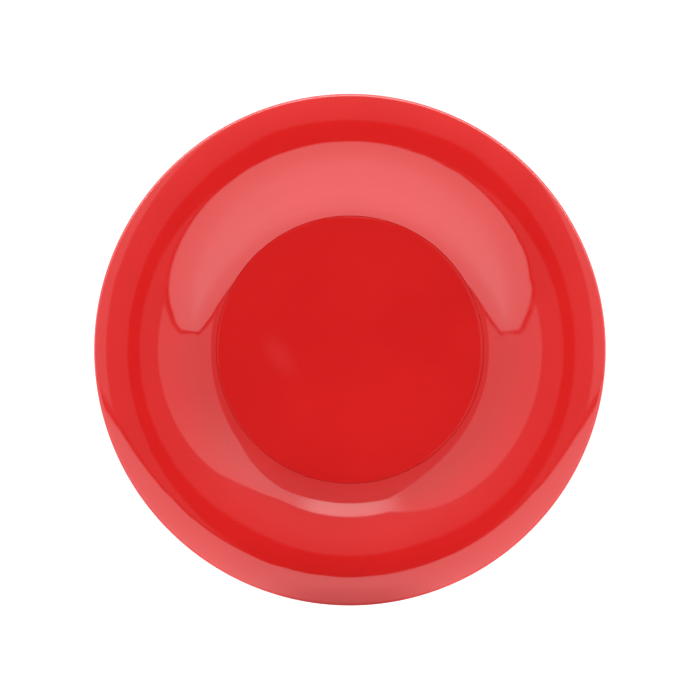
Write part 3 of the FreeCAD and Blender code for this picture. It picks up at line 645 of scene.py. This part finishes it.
@dataclass
class RubberParts:
    """The sleeve that grips the pipe's bore, and the gasket on the pipe's flange face."""

    groove_count: int = 4
    groove_depth: float = 0.99 * MM
    shoulder: float = 2 * MM
    bore_lip: float = 1 * MM
    bore_in: float = 26.6 * MM
    bead_count: int = 6
    bead_depth: float = 0.35 * MM
    gasket_inner: float = 84.5 * MM
    gasket_edge: float = 0.4 * MM
    squeezed: float = 12 * MM
    segments: int = 288

    def sleeve(self) -> bpy.types.Object:
        """Build the sleeve: radius = outside - depth * (1 - |sin|^6) up its side, ends rounded.

        Returns:
            The piece.
        """
        low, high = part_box("sealing_sleeve")
        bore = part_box("front_backing_ring")[1].x - self.bore_in
        way = np.linspace(0, 1, 161)
        height = low.z + (high.z - low.z) * way
        inset = np.minimum(height - low.z, high.z - height)
        slope = np.clip(1 - inset / self.shoulder, 0, 1)
        ends = self.shoulder * (1 - np.sqrt(1 - slope ** 2))
        waves = np.abs(np.sin(math.pi * way * (self.groove_count + 1))) ** 6
        crown = self.groove_depth * (1 - waves) * smooth(0, 0.12, np.minimum(way, 1 - way))
        outer = np.column_stack([high.x - ends - crown, height])
        lip, half_turn = self.bore_lip, math.pi
        inner = [arc((bore + lip, high.z - lip), lip, half_turn / 2, half_turn, 8),
                 arc((bore + lip, low.z + lip), lip, half_turn, 1.5 * half_turn, 8)]
        profile = np.vstack([outer, *inner])
        piece = make_piece("rubber_sleeve", [lathe(profile, self.segments)], True, 60)
        dress(piece, RUBBER)
        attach(piece, "flange_body")
        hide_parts("sealing_sleeve")
        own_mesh(piece)
        return piece

    def gasket(self) -> bpy.types.Object:
        """Build the gasket: a flat ring with shallow grooves between its sealing beads.

        Returns:
            The piece.
        """
        low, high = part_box("face_gasket")
        inner, edge = self.gasket_inner, self.gasket_edge
        way = np.linspace(0, 1, 241)
        across = inner + edge + (high.x - inner - 2 * edge) * way
        beads = smooth(0.55, 0.85, -np.cos(2 * math.pi * way * self.bead_count))
        under = np.column_stack([across, low.z + self.bead_depth * beads])
        rest = np.array([(high.x, low.z + edge), (high.x, high.z), (inner, high.z),
                         (inner, low.z + edge)])
        profile = np.vstack([under, rest])
        piece = make_piece("gasket_ring", [lathe(profile, self.segments)], True)
        dress(piece, RUBBER)
        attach(piece, "flange_body")
        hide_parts("face_gasket")
        return piece


# --- the screws ----------------------------------------------------------------------------


class Facing(Enum):
    """Which way a screw's head looks."""

    UP = 1
    DOWN = -1


@dataclass
class SocketScrews:
    """A ring of socket-head screws that share one node."""

    node: str
    count: int
    circle: float
    turn: float
    facing: Facing
    shank: float
    head: float
    head_high: float
    socket: float
    body: str
    pitch: float = 0.8 * MM
    segments: int = 48

    def one(self, long: float) -> Array:
        """Work out one screw, head up, with its shank's tip at height 0.

        The head's side is knurled: radius = head - depth * |sin(12 a)|. The shank's radius
        falls by a third of the pitch along a helix.

        Args:
            long: Length under the head.

        Returns:
            A grid of points.
        """
        angle = np.linspace(0, 2 * math.pi, self.segments, endpoint=False)
        steps = np.arange(0, long, self.pitch / 5)
        rows: list[tuple[Array | float, Array | float]] = [(0.0, 0.0)]
        for step in steps:
            phase = np.mod(step / self.pitch - angle / (2 * math.pi), 1)
            cut = self.pitch / 3 * (1 - np.abs(2 * phase - 1))
            taper = max(0.0, self.pitch - step)
            rows.append((self.shank - cut - taper * 0.6, step))
        knurl = self.head - 0.12 * MM * np.abs(np.sin(12 * angle))
        soft = 0.35 * MM
        high = long + self.head_high
        hole = hexagon_radius(self.socket, self.segments)
        rows += [
            (self.shank, long), (self.head - soft, long), (knurl, long + soft),
            (knurl, high - soft), (self.head - soft, high), (hole + soft / 2, high),
            (hole, high - soft / 2), (hole, high - self.head_high * 0.6),
            (0.0, high - self.head_high * 0.66),
        ]
        return turned_rows(rows, self.segments)

    def build(self) -> bpy.types.Object:
        """Build the ring: each screw is the same grid, turned about the Z axis.

        Returns:
            The piece.
        """
        low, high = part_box(self.node)
        grid = self.one(high.z - low.z - self.head_high)
        if self.facing is Facing.DOWN:
            grid = grid * np.array([1, -1, -1])
        grid[..., 2] += low.z if self.facing is Facing.UP else high.z
        grid[..., 0] += self.circle
        grids = []
        for index in range(self.count):
            a = math.radians(self.turn) + 2 * math.pi * index / self.count
            spin = np.array([[math.cos(a), math.sin(a), 0], [-math.sin(a), math.cos(a), 0],
                             [0, 0, 1]])
            grids.append(grid @ spin)
        piece = make_piece(self.node + "_cut", grids, False)
        dress(piece, DARK_SCREW)
        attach(piece, self.body)
        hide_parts(self.node)
        return piece


@dataclass
class DrawScrew:
    """The large screw that pulls the rear plate, with a cut thread and a knurled head."""

    radius: float = 8 * MM
    pitch: float = 2 * MM
    depth: float = 1.1 * MM
    head_radius: float = 12 * MM
    head_high: float = 16 * MM
    thread_long: float = 52 * MM
    socket: float = 8.1 * MM
    socket_depth: float = 8 * MM
    clip_depth: float = 1 * MM
    tip_edge: float = 1.5 * MM
    fade_long: float = 2 * MM
    knurl_waves: int = 24
    knurl_depth: float = 0.25 * MM
    head_edge: float = 0.8 * MM
    collar_in: float = 0.3 * MM
    mouth_edge: float = 0.5 * MM
    steps_a_turn: int = 12
    segments: int = 96

    def rows(self) -> list[tuple[Array | float, Array | float]]:
        """Work out the screw's rows from its tip up to the floor of its socket.

        The thread's radius is radius - depth * clip(1.3 |2p - 1| - 0.15, 0, 1), where p is the
        share of a turn at that height and angle, and it fades out at both ends.

        Returns:
            Radius and height of each row.
        """
        low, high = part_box("draw_screw")
        angle = np.linspace(0, 2 * math.pi, self.segments, endpoint=False)
        seat = high.z - self.head_high
        rows: list[tuple[Array | float, Array | float]] = [(0.0, low.z)]
        heights = np.arange(0, seat - low.z, self.pitch / self.steps_a_turn)
        fade = smooth(0, 1, (self.thread_long - heights) / self.fade_long)
        grooves = [(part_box(clip)[0].z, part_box(clip)[1].z) for clip in ("hub_clip", "end_clip")]
        for height, share in zip(heights, fade):
            z = low.z + height
            phase = np.mod(height / self.pitch + angle / (2 * math.pi), 1)
            cut = self.depth * share * np.clip(1.3 * np.abs(2 * phase - 1) - 0.15, 0, 1)
            tip = self.radius - max(0.0, self.tip_edge - height)
            row = np.minimum(self.radius - cut, tip)
            if any(bottom <= z <= top for bottom, top in grooves):
                row = np.minimum(row, self.radius - self.clip_depth)
            rows.append((row, z))
        knurl = self.head_radius - self.knurl_depth * np.abs(np.sin(self.knurl_waves * angle))
        soft, collar = self.head_edge, self.head_radius - self.collar_in
        hole, mouth = hexagon_radius(self.socket, self.segments), self.mouth_edge
        foot = high.z - self.socket_depth
        rows += [
            (self.radius, seat), (self.head_radius - soft, seat), (knurl, seat + soft),
            (knurl, high.z - 3 * soft), (collar, high.z - 2.6 * soft), (collar, high.z - soft),
            (self.head_radius - soft, high.z), (hole + mouth, high.z), (hole, high.z - mouth),
            (hole, foot), (0.0, foot - self.tip_edge),
        ]
        return rows

    def build(self) -> bpy.types.Object:
        """Build the screw as one closed piece."""
        grid = turned_rows(self.rows(), self.segments)
        piece = make_piece("draw_screw_cut", [grid], False)
        dress(piece, MACHINED)
        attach(piece, "screw_drive")
        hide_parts("draw_screw")
        return piece


def screw_rings() -> list[SocketScrews]:
    """List the four rings of small screws with their sizes."""
    small = {"shank": 2.45 * MM, "head": 4.5 * MM, "head_high": 3 * MM, "socket": 1.9 * MM}
    return [
        SocketScrews("shell_screws", 8, 121.7 * MM, 0, Facing.DOWN, body="flange_body", **small),
        SocketScrews("hub_screws", 4, 32 * MM, 45, Facing.UP, body="flange_body", **small),
        SocketScrews("spigot_screws", 6, 68 * MM, 30, Facing.DOWN, 2.95 * MM, 5 * MM, 5 * MM,
                     2.9 * MM, "flange_body", 1 * MM),
        SocketScrews("keeper_screws", 3, 19 * MM, 30, Facing.DOWN, 1.45 * MM, 2.7 * MM,
                     1.6 * MM, 1.1 * MM, "rear_clamp", 0.5 * MM),
    ]


# --- the studio ----------------------------------------------------------------------------


@dataclass(frozen=True)
class SoftPanels:
    """The light from overhead, placed by u = |x| / z and v = y / z of its direction.

    A large panel lies on the near side, a paler surround lies beyond a dim middle with a dark
    core, and a low light comes from the far side. A pair of numbers is where an edge starts
    and ends, or the levels before and after it.
    """

    near_edge: float = 0.187
    near_flare: float = 0.113
    near_skirt: tuple[float, float] = (0.10, 0.24)
    near_levels: tuple[float, float] = (1.68, 2.28)
    side_edge: tuple[float, float] = (0.50, 0.60)
    side_taper: tuple[float, float] = (0.04, -0.06)
    side_spread: float = 0.46
    far_edge: tuple[float, float] = (1.8, 2.1)
    far_levels: tuple[float, float] = (0.92, 2.9)
    far_glow: float = 0.75
    left_share: float = 0.3
    core_right: tuple[float, float] = (0.12, 0.19)
    core_left: tuple[float, float] = (-0.12, -0.07)
    core_far: tuple[float, float] = (0.21, 0.29)
    middle_levels: tuple[float, float] = (0.30, 0.50)
    low_light: float = 11.0
    least: float = 0.02

    def directions(self, tree: bpy.types.NodeTree) -> dict[str, bpy.types.NodeSocket]:
        """Work out the measures that place a direction.

        Args:
            tree: The world's node tree.

        Returns:
            x, y and z; u, v and lean = x / z; ahead, the y share of the level direction; and
            behind, how far v lies beyond the near panel's edge.
        """
        place = add_node(tree, "ShaderNodeTexCoord").outputs["Generated"]
        axes = add_node(tree, "ShaderNodeSeparateXYZ", None, {0: place})
        x, y, z = axes.outputs
        up = math_node(tree, "MAXIMUM", z, 0.02)
        u = math_node(tree, "DIVIDE", math_node(tree, "ABSOLUTE", x), up)
        v = math_node(tree, "DIVIDE", y, up)
        flare = math_node(tree, "MULTIPLY", u, self.near_flare)
        edge = math_node(tree, "MAXIMUM", flare, self.near_edge)
        flat = add_node(tree, "ShaderNodeVectorMath", {"operation": "MULTIPLY"},
                        {0: place, 1: (1.0, 1.0, 0.0)})
        flat = add_node(tree, "ShaderNodeVectorMath", {"operation": "NORMALIZE"},
                        {0: flat.outputs[0]})
        ahead = add_node(tree, "ShaderNodeSeparateXYZ", None, {0: flat.outputs[0]}).outputs[1]
        return {"x": x, "y": y, "z": z, "u": u, "v": v, "ahead": ahead,
                "lean": math_node(tree, "DIVIDE", x, up),
                "behind": math_node(tree, "ADD", v, edge)}

    def near(self, tree: bpy.types.NodeTree,
             ray: dict[str, bpy.types.NodeSocket]) -> bpy.types.NodeSocket:
        """Light the near side: bright up to its edge, brighter lower down, dim at the skirt."""
        depth = math_node(tree, "MULTIPLY", ray["behind"], -1.0)
        panel = math_node(tree, "MULTIPLY", step_node(tree, depth, 0.0, 0.03),
                          step_node(tree, ray["z"], *self.near_skirt, 0.1))
        return math_node(tree, "MULTIPLY", panel,
                         step_node(tree, depth, 0.0, 0.8, *self.near_levels))

    def surround(self, tree: bpy.types.NodeTree,
                 ray: dict[str, bpy.types.NodeSocket]) -> bpy.types.NodeSocket:
        """Light the sides and the far side beyond the dim middle, which spreads to the right."""
        x, v, ahead = ray["x"], ray["v"], ray["ahead"]
        spread = math_node(tree, "MULTIPLY", step_node(tree, x, -0.1, 0.1),
                           step_node(tree, v, 0.0, 1.4, 0.0, self.side_spread))
        spread = math_node(tree, "ADD", spread, step_node(tree, v, 0.1, 0.9, *self.side_taper))
        beside = step_node(tree, math_node(tree, "SUBTRACT", ray["u"], spread), *self.side_edge)
        around = math_node(tree, "MAXIMUM", beside, step_node(tree, v, *self.far_edge))
        around = math_node(tree, "MULTIPLY", around, step_node(tree, ray["behind"], 0.02, 0.05))
        glow = math_node(tree, "MULTIPLY", step_node(tree, ahead, 0.2, 0.9),
                         step_node(tree, x, -0.1, 0.3, self.left_share, 1.0))
        level = math_node(tree, "ADD", step_node(tree, ahead, 0.93, 1.0, *self.far_levels),
                          math_node(tree, "MULTIPLY", glow, self.far_glow))
        return math_node(tree, "MULTIPLY", around, level)

    def middle(self, tree: bpy.types.NodeTree,
               ray: dict[str, bpy.types.NodeSocket]) -> bpy.types.NodeSocket:
        """Light the dim middle, but for the dark core right overhead."""
        lean, v = ray["lean"], ray["v"]
        core = math_node(tree, "MAXIMUM", step_node(tree, lean, *self.core_right),
                         step_node(tree, lean, *self.core_left, 1.0, 0.0))
        core = math_node(tree, "MAXIMUM", core, step_node(tree, v, *self.core_far))
        middle = math_node(tree, "MULTIPLY", core, step_node(tree, ray["behind"], 0.0, 0.03))
        return math_node(tree, "MULTIPLY", middle,
                         step_node(tree, v, 0.0, 1.0, *self.middle_levels))

    def low(self, tree: bpy.types.NodeTree,
            ray: dict[str, bpy.types.NodeSocket]) -> bpy.types.NodeSocket:
        """Light the far side from just above the floor."""
        low = math_node(tree, "MULTIPLY", step_node(tree, ray["z"], 0.05, 0.15, 1.0, 0.0),
                        step_node(tree, ray["y"], 0.1, 0.8))
        return math_node(tree, "MULTIPLY", low, self.low_light)

    def brightness(self, tree: bpy.types.NodeTree) -> bpy.types.NodeSocket:
        """Add all the panels to a world's tree.

        Args:
            tree: The world's node tree.

        Returns:
            The brightness that each direction sends.
        """
        ray = self.directions(tree)
        total = math_node(tree, "MAXIMUM", self.near(tree, ray), self.surround(tree, ray))
        total = math_node(tree, "MAXIMUM", total, self.middle(tree, ray))
        total = math_node(tree, "ADD", total, self.low(tree, ray))
        return math_node(tree, "ADD", total, self.least)


@dataclass
class Studio:
    """A white floor, soft panels, a dark card and a camera that looks straight down the axis."""

    camera_height: float = 6.0
    frame_share: float = 0.7319
    shift: tuple[float, float] = (0.0001, -0.0004)
    sensor: float = 36.0
    rim_drop: float = 3.6 * MM
    floor_size: float = 6.0
    floor_glow: float = 0.80
    card_gap: float = 7.5 * MM
    card_half: float = 70 * MM
    card_heights: tuple[float, float] = (20 * MM, 98 * MM)
    card_cover: float = 0.62

    def floor(self) -> None:
        """Lay the floor under the rear plate's foot: a plane that glows a little."""
        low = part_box("rear_plate")[0].z
        half = self.floor_size
        mesh = bpy.data.meshes.new("floor")
        corners = [(-half, -half, low), (half, -half, low), (half, half, low),
                   (-half, half, low)]
        mesh.from_pydata(corners, [], [(0, 1, 2, 3)])
        plane = bpy.data.objects.new("floor", mesh)
        bpy.context.scene.collection.objects.link(plane)
        material = bpy.data.materials.new("pale_floor")
        material.use_nodes = True
        shader = material.node_tree.nodes["Principled BSDF"]
        shader.inputs["Base Color"].default_value = (0.5, 0.5, 0.5, 1.0)
        shader.inputs["Roughness"].default_value = 0.8
        shader.inputs["Emission Color"].default_value = (1.0, 1.0, 1.0, 1.0)
        shader.inputs["Emission Strength"].default_value = self.floor_glow
        mesh.materials.append(material)

    def card(self) -> None:
        """Stand a dark card just beyond the near edge, which fades out upwards and sideways."""
        near = -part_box("face_shell")[1].x - self.card_gap
        half, (low, high) = self.card_half, self.card_heights
        mesh = bpy.data.meshes.new("card")
        corners = [(-half, near, low), (half, near, low), (half, near, high), (-half, near, high)]
        mesh.from_pydata(corners, [], [(0, 1, 2, 3)])
        sheet = bpy.data.objects.new("card", mesh)
        bpy.context.scene.collection.objects.link(sheet)
        material = bpy.data.materials.new("dark_card")
        material.use_nodes = True
        tree = material.node_tree
        tree.nodes.clear()
        place = add_node(tree, "ShaderNodeTexCoord")
        axes = add_node(tree, "ShaderNodeSeparateXYZ", None, {0: place.outputs["Object"]})
        aside = math_node(tree, "ABSOLUTE", axes.outputs[0])
        cover = math_node(tree, "MULTIPLY", step_node(tree, aside, 0.25 * half, half, 1.0, 0.0),
                          step_node(tree, axes.outputs[2], low, high, self.card_cover, 0.0))
        clear = add_node(tree, "ShaderNodeBsdfTransparent")
        dark = add_node(tree, "ShaderNodeBsdfDiffuse", None, {"Color": (0.0, 0.0, 0.0, 1.0)})
        mixed = add_node(tree, "ShaderNodeMixShader", None,
                         {0: cover, 1: clear.outputs[0], 2: dark.outputs[0]})
        out = add_node(tree, "ShaderNodeOutputMaterial")
        tree.links.new(mixed.outputs[0], out.inputs["Surface"])
        mesh.materials.append(material)
        sheet.visible_camera = False

    def camera(self) -> None:
        """Stand the camera over the face so that the face fills its share of the frame."""
        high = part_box("face_shell")[1]
        rim = high.z - self.rim_drop
        data = bpy.data.cameras.new("camera")
        data.sensor_width = self.sensor
        half_width = high.x / self.frame_share
        data.lens = self.sensor / 2 * (self.camera_height - rim) / half_width
        data.shift_x, data.shift_y = self.shift
        camera = bpy.data.objects.new("camera", data)
        camera.location = (0, 0, self.camera_height)
        bpy.context.scene.collection.objects.link(camera)
        bpy.context.scene.camera = camera

    def panels(self) -> None:
        """Light the world by the soft panels, while the camera itself sees plain white."""
        world = bpy.data.worlds.new("studio")
        bpy.context.scene.world = world
        world.use_nodes = True
        tree = world.node_tree
        tree.nodes.clear()
        light = add_node(tree, "ShaderNodeBackground", None,
                         {"Color": (1.0, 1.0, 1.0, 1.0),
                          "Strength": SoftPanels().brightness(tree)})
        plain = add_node(tree, "ShaderNodeBackground", None,
                         {"Color": (1.0, 1.0, 1.0, 1.0), "Strength": 1.0})
        path = add_node(tree, "ShaderNodeLightPath")
        mixed = add_node(tree, "ShaderNodeMixShader", None,
                         {0: path.outputs["Is Camera Ray"], 1: light.outputs[0],
                          2: plain.outputs[0]})
        out = add_node(tree, "ShaderNodeOutputWorld")
        tree.links.new(mixed.outputs[0], out.inputs["Surface"])

    def build(self) -> None:
        """Set the stage and keep its colours as they are lit."""
        self.floor()
        self.card()
        self.camera()
        self.panels()
        bpy.context.scene.view_settings.view_transform = "Standard"


def math_node(tree: bpy.types.NodeTree, operation: str, first: object,
              second: object = 0.0) -> bpy.types.NodeSocket:
    """Add one sum to a tree and hand back its result."""
    node = add_node(tree, "ShaderNodeMath", {"operation": operation}, {0: first, 1: second})
    return node.outputs[0]


def step_node(tree: bpy.types.NodeTree, amount: object, low: float, high: float,
              below: float = 0.0, above: float = 1.0) -> bpy.types.NodeSocket:
    """Rise smoothly from one level to another as the amount goes from low to high."""
    node = add_node(tree, "ShaderNodeMapRange", {"interpolation_type": "SMOOTHSTEP"},
                    {"Value": amount, "From Min": low, "From Max": high, "To Min": below,
                     "To Max": above})
    return node.outputs["Result"]


# --- all together --------------------------------------------------------------------------


def carry_over() -> None:
    """Dress every frame node that keeps its own shape."""
    for name, finish in CARRIED_OVER.items():
        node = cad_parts[name]
        node.data.materials.clear()
        node.data.materials.append(finish.material())
        LOG.info("dressed %s in %s", name, finish.name)


def main() -> None:
    """Build the flange and its studio, and report each piece."""
    logging.basicConfig(level=logging.INFO, format="%(message)s")
    Studio().build()
    rubber = RubberParts()
    made = [*RedFace().build(), rubber.sleeve(), rubber.gasket(), DrawScrew().build()]
    made += [ring.build() for ring in screw_rings()]
    carry_over()
    for piece in made:
        LOG.info("built %s with %d faces", piece.name, len(piece.data.polygons))


if __name__ == "__main__":
    main()
